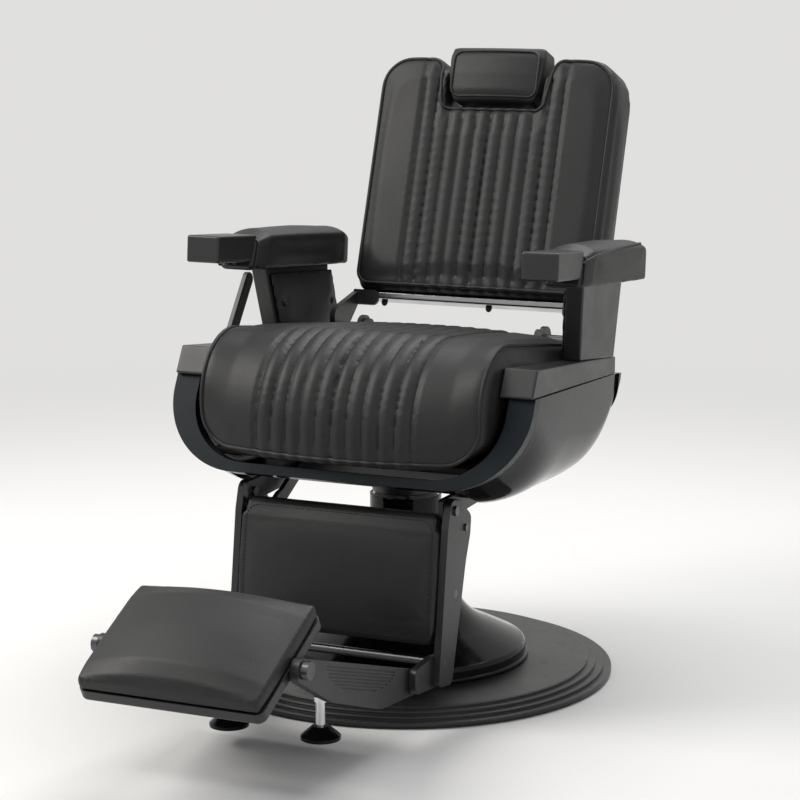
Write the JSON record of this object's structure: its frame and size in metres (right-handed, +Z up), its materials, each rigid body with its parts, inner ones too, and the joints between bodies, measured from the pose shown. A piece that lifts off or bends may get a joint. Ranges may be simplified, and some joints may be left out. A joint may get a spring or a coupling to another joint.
{
  "type": "barber chair",
  "caption": "Reclining barber chair with channelled seat and back, raised headrest, padded arms, linked leg rest, tipping footrest and a round hydraulic pedestal base.",
  "frame": {"origin": "centre of the floor face of the base, on the lift and swivel axis", "axes": "+Z up, the sitter faces -Y, +X to the sitter's left"},
  "size_m": [0.718, 1.3691, 1.0608],
  "materials": {
    "satin_metal": "satin black powder coat",
    "gloss_shell": "gloss black moulding",
    "satin_plastic": "satin black moulding",
    "black_leather": "black grained leatherette",
    "chrome": "polished chrome",
    "bright_steel": "dark polished steel",
    "rubber": "matt black",
    "plywood": "plain"
  },
  "bodies": {
    "base": {"floor_pad": "rubber", "base_disc": "satin_metal", "pump_barrel": "satin_metal", "pump_bolts": "chrome", "gland_ring": "chrome", "pump_cover": "satin_metal", "pedal_bracket": "satin_metal", "pedal_pin": "chrome"},
    "pedal": {"pedal_arm": "satin_metal", "pedal_pad": "rubber"},
    "ram": {"lift_ram": "chrome"},
    "seat": {"swivel_hub": "satin_metal", "seat_plate": "satin_metal", "frame_rail_left": "satin_metal", "frame_rail_right": "satin_metal", "shell_brackets": "satin_metal", "front_bezel": "gloss_shell", "seat_shell": "gloss_shell", "rear_trim": "gloss_shell", "side_cap_left": "satin_plastic", "side_cap_right": "satin_plastic", "seat_board": "plywood", "seat_cushion": "black_leather", "arm_grip_left": "satin_plastic", "arm_grip_right": "satin_plastic", "arm_pad_left": "black_leather", "arm_pad_right": "black_leather", "arm_post_left": "satin_plastic", "arm_post_right": "satin_plastic", "arm_panels": "black_leather", "leg_pivot_pins": "chrome", "lever_boss": "satin_metal"},
    "backrest": {"hinge_arm_left": "satin_metal", "hinge_arm_right": "satin_metal", "recline_pins": "chrome", "crank_pins": "chrome", "back_rail": "bright_steel", "back_panel": "black_leather", "back_cushion": "black_leather", "headrest_sleeves": "chrome"},
    "headrest": {"headrest_pad": "black_leather", "headrest_posts": "chrome"},
    "leg_rest": {"leg_plate_left": "satin_metal", "leg_plate_right": "satin_metal", "cross_rods": "chrome", "knee_pins": "chrome", "calf_pad": "black_leather", "calf_board": "plywood", "foot_brackets": "satin_metal", "toe_pins": "chrome"},
    "foot_frame": {"foot_arm_left": "satin_metal", "foot_arm_right": "satin_metal", "step_plate": "satin_metal", "stand_stems": "chrome", "stand_feet": "gloss_shell", "tread_pins": "chrome"},
    "tread": {"tread_pan": "satin_metal", "tread_cushion": "black_leather"},
    "lever": {"recline_lever": "satin_metal"},
    "push_rods": {"push_rods": "satin_metal"}
  },
  "joints": [
    {"name": "lift", "type": "slide", "parent": "base", "child": "ram", "axis": [0, 0, 1], "range_m": [0, 0.15]},
    {"name": "swivel", "type": "hinge", "parent": "ram", "child": "seat", "pos_m": [0, 0, 0.33], "axis": [0, 0, 1], "continuous": true},
    {"name": "recline", "type": "hinge", "parent": "seat", "child": "backrest", "pos_m": [0, 0.205, 0.56], "axis": [-1, 0, 0], "range_deg": [0, 45]},
    {"name": "leg_lift", "type": "hinge", "parent": "seat", "child": "leg_rest", "pos_m": [0, -0.235, 0.345], "axis": [-1, 0, 0], "range_deg": [0, 31]},
    {"name": "rod_swing", "type": "hinge", "parent": "backrest", "child": "push_rods", "pos_m": [0, 0.234, 0.536], "axis": [-1, 0, 0], "range_deg": [-46, 0]},
    {"name": "headrest_slide", "type": "slide", "parent": "backrest", "child": "headrest", "axis": [0, 0.3256, 0.9455], "range_m": [0, 0.08]},
    {"name": "footrest_fold", "type": "hinge", "parent": "leg_rest", "child": "foot_frame", "pos_m": [0, -0.345, 0.092], "axis": [-1, 0, 0], "range_deg": [0, 35]},
    {"name": "tread_flip", "type": "hinge", "parent": "foot_frame", "child": "tread", "pos_m": [0, -0.732, 0.213], "axis": [1, 0, 0], "range_deg": [0, 180]},
    {"name": "lever_pull", "type": "hinge", "parent": "seat", "child": "lever", "pos_m": [-0.34, -0.036, 0.5], "axis": [-1, 0, 0], "range_deg": [0, 14], "stiffness_Nm_per_rad": 12},
    {"name": "pedal_press", "type": "hinge", "parent": "base", "child": "pedal", "pos_m": [-0.09192, 0.09192, 0.05], "axis": [-0.7071, -0.7071, 0], "range_deg": [0, 6], "stiffness_Nm_per_rad": 60, "springref_deg": -2.86}
  ],
  "couplings": [
    {"joint": "leg_lift", "follows": "recline", "ratio": 0.682},
    {"joint": "rod_swing", "follows": "recline", "ratio": -1.01}
  ]
}
